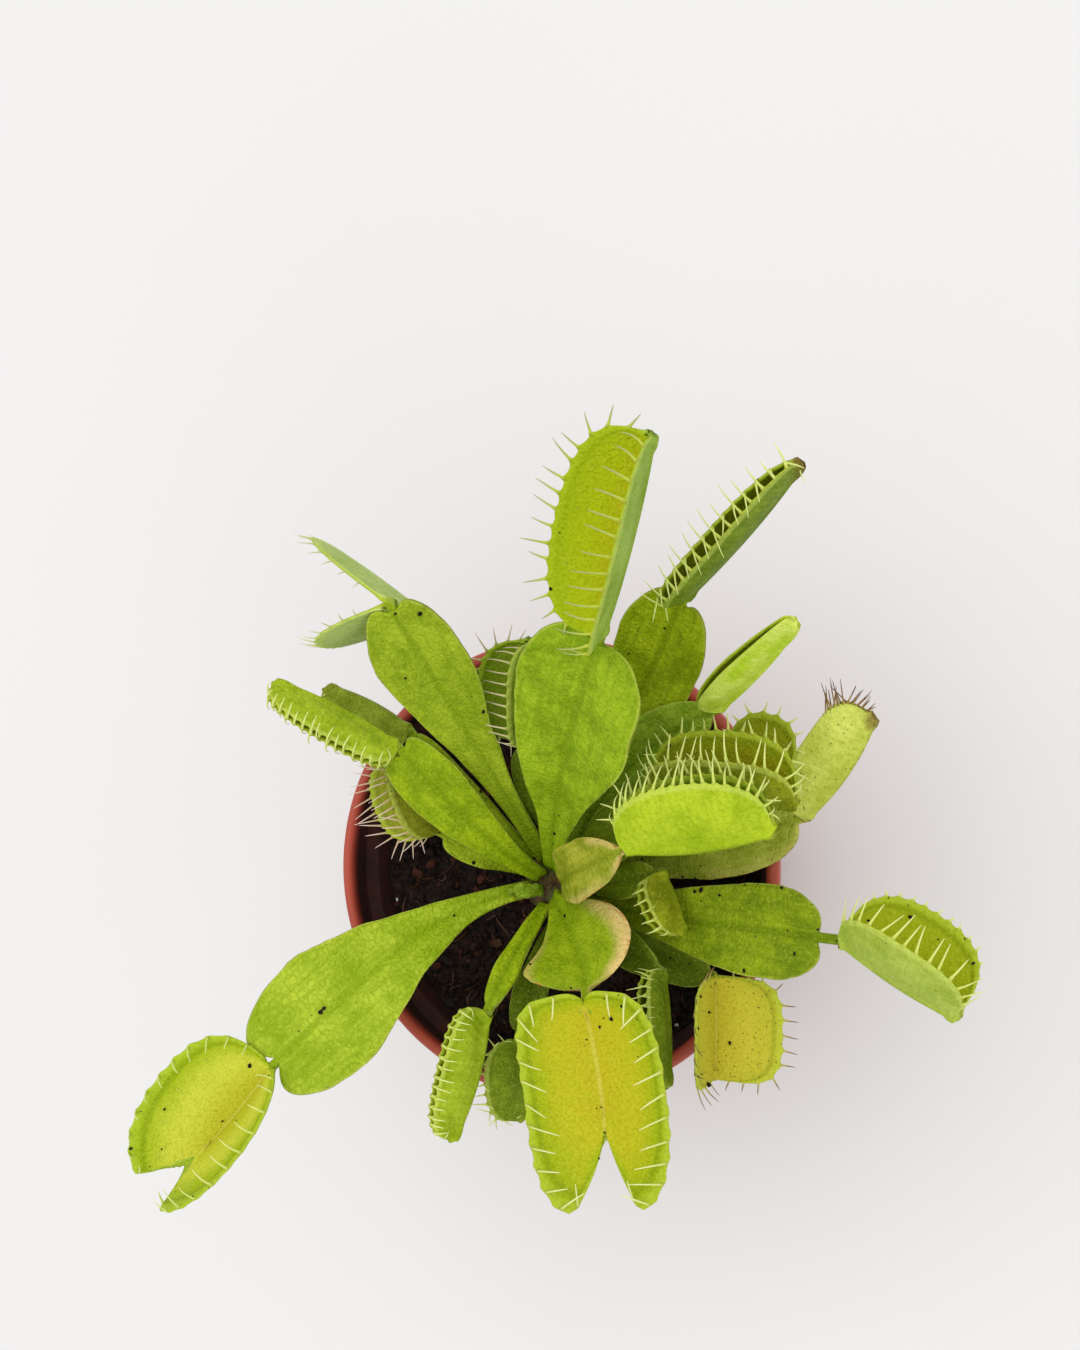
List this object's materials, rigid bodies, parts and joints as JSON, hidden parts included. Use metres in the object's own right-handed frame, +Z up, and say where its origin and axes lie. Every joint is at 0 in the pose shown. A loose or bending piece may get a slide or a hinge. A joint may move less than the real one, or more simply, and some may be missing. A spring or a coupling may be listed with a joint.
{
  "type": "potted venus flytrap",
  "caption": "Venus flytrap in a round tapered nursery pot: a rosette of broad winged leaves, each ending in a hinged two-lobed trap, on peat soil.",
  "frame": {"origin": "centre of the pot's flat underside, on the surface it stands on", "axes": "+Z up along the pot's axis; +X towards the picture's right, +Y towards the picture's top"},
  "size_m": [0.154, 0.1313, 0.1556],
  "materials": {
    "pot": "terracotta-red thin moulded plastic, satin",
    "soil": "damp dark peat, matt; plastic stands in for soil",
    "rhizome": "brown-green fleshy crown; plastic stands in for plant tissue",
    "leaf": "yellow-green leaf with a soft sheen; plastic stands in for leaf tissue"
  },
  "bodies": {
    "root": {"pot": "pot", "soil": "soil", "rhizome": "rhizome", "leaf_tall": "leaf", "leaf_dark": "leaf", "leaf_horn": "leaf", "leaf_nest_front": "leaf", "leaf_nest_back": "leaf", "leaf_nest_far": "leaf", "leaf_nest_low": "leaf", "leaf_burnt": "leaf", "leaf_right": "leaf", "leaf_slim": "leaf", "leaf_speckled": "leaf", "leaf_front": "leaf", "leaf_front_left": "leaf", "leaf_front_hidden": "leaf", "leaf_long": "leaf", "leaf_left_high": "leaf", "leaf_left_low": "leaf", "leaf_left_inner": "leaf", "leaf_upper_left": "leaf", "leaf_back": "leaf", "leaf_young": "leaf"}
  },
  "joints": []
}
